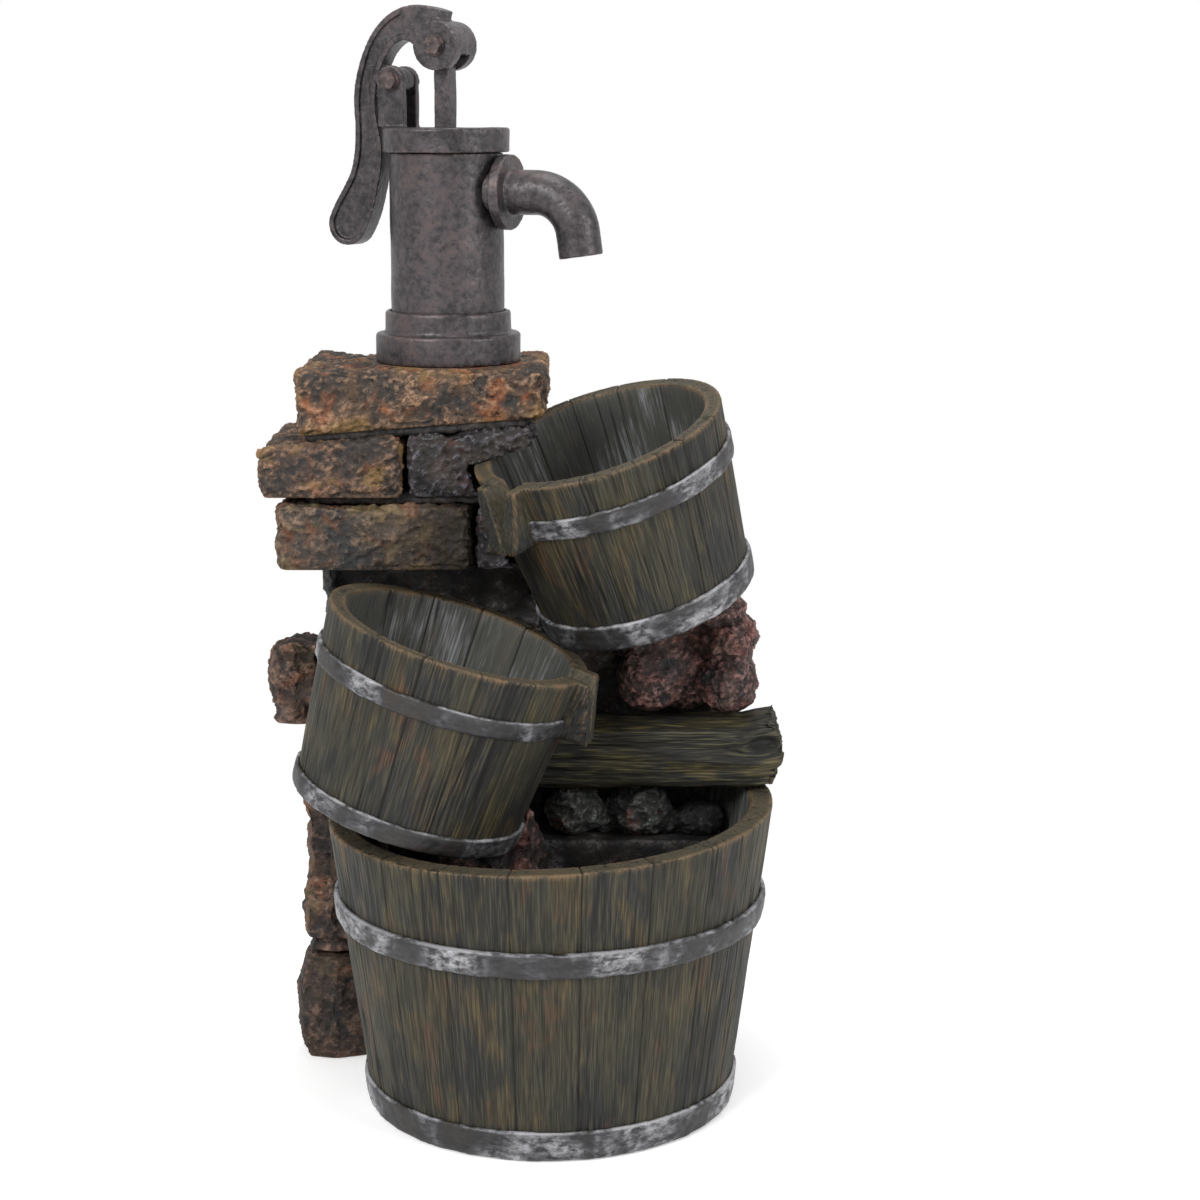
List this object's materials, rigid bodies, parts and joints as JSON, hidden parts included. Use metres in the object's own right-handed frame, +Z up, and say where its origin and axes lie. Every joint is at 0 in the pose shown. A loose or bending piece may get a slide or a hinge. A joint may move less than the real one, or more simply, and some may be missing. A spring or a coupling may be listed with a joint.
{
  "type": "cascade garden fountain",
  "caption": "Table-height garden fountain: a hand pump on stacked bricks pours into leaning wooden buckets over a barrel basin",
  "frame": {"origin": "centre of the basin's underside, on the ground", "axes": "+X to the right seen from the front, +Y away from the viewer, +Z up"},
  "size_m": [0.3195, 0.2765, 0.6405],
  "materials": {
    "cast_barrel": "cast resin painted as weathered wood, matt",
    "cast_hoop": "cast resin painted as worn iron, satin",
    "cast_stone": "cast resin painted as stone, matt",
    "cast_brick": "cast resin painted as old brick, matt",
    "mortar": "cast resin, rough",
    "cast_timber": "cast resin painted as old timber, matt",
    "pump_metal": "cast resin painted as rusty iron, satin",
    "steel": "zinc plated",
    "rubber": "matt",
    "door_plastic": "matt moulded",
    "pump_plastic": "satin moulded",
    "ceramic": "polished ceramic",
    "hose": "smooth"
  },
  "bodies": {
    "fountain": {"access_door": "door_plastic", "base_screws": "steel", "basin_base_hoop": "cast_hoop", "basin_rocks": "cast_stone", "basin_shell": "cast_barrel", "basin_upper_hoop": "cast_hoop", "brick_second_left": "cast_brick", "brick_second_right": "cast_brick", "brick_third_left": "cast_brick", "brick_third_right": "cast_brick", "brick_top": "cast_brick", "cable_grommet": "rubber", "column_core": "cast_stone", "column_crown": "cast_stone", "column_foot": "cast_stone", "corner_block": "cast_stone", "door_screws": "steel", "door_seal": "rubber", "fulcrum_bolt": "steel", "fulcrum_nut": "steel", "hand_pump_barrel": "pump_metal", "hand_pump_base": "pump_metal", "hand_pump_cap": "pump_metal", "mid_bucket": "cast_barrel", "mid_bucket_base_hoop": "cast_hoop", "mid_bucket_upper_hoop": "cast_hoop", "mortar_beds": "mortar", "pillar_rock": "cast_stone", "prop_stones": "cast_stone", "pump_cable_gland": "pump_plastic", "pump_chamber": "cast_stone", "pump_chamber_cover": "pump_plastic", "pump_housing": "pump_plastic", "pump_nozzle": "pump_plastic", "pump_shaft": "ceramic", "pump_suction_cups": "rubber", "riser_hose": "hose", "shoulder_cap": "cast_stone", "side_stones": "cast_stone", "spout": "pump_metal", "spout_elbow": "hose", "spout_grommet": "rubber", "timber_beam": "cast_timber", "upper_bucket": "cast_barrel", "upper_bucket_base_hoop": "cast_hoop", "upper_bucket_upper_hoop": "cast_hoop"},
    "lever": {"handle": "pump_metal", "rod_bolt": "steel", "rod_nut": "steel"},
    "plunger": {"plunger_rod": "pump_metal"},
    "rotor": {"pump_impeller": "pump_plastic"},
    "strainer": {"pump_strainer_cover": "pump_plastic"},
    "flow_knob": {"pump_flow_knob": "pump_plastic"},
    "plug": {"drain_plug": "rubber"}
  },
  "joints": [
    {"name": "lever_hinge", "type": "hinge", "parent": "fountain", "child": "lever", "pos_m": [-0.09014, 0.09161, 0.597], "axis": [0.3746, 0.9272, 0], "range_deg": [0, 35]},
    {"name": "plunger_slide", "type": "slide", "parent": "fountain", "child": "plunger", "axis": [0, 0, -1], "range_m": [0, 0.0215]},
    {"name": "rotor_spin", "type": "hinge", "parent": "fountain", "child": "rotor", "pos_m": [0.002, 0.06, 0.039], "axis": [0, 1, 0], "continuous": true},
    {"name": "strainer_slide", "type": "slide", "parent": "fountain", "child": "strainer", "axis": [0, -1, 0], "range_m": [0, 0.01]},
    {"name": "flow_knob_turn", "type": "hinge", "parent": "strainer", "child": "flow_knob", "pos_m": [0.011, 0.042, 0.039], "axis": [0, -1, 0], "range_deg": [0, 90]},
    {"name": "drain_plug_lift", "type": "slide", "parent": "fountain", "child": "plug", "axis": [0, 0, 1], "range_m": [0, 0.012]}
  ],
  "couplings": [
    {"joint": "plunger_slide", "follows": "lever_hinge", "m_per_rad": 0.03503}
  ]
}
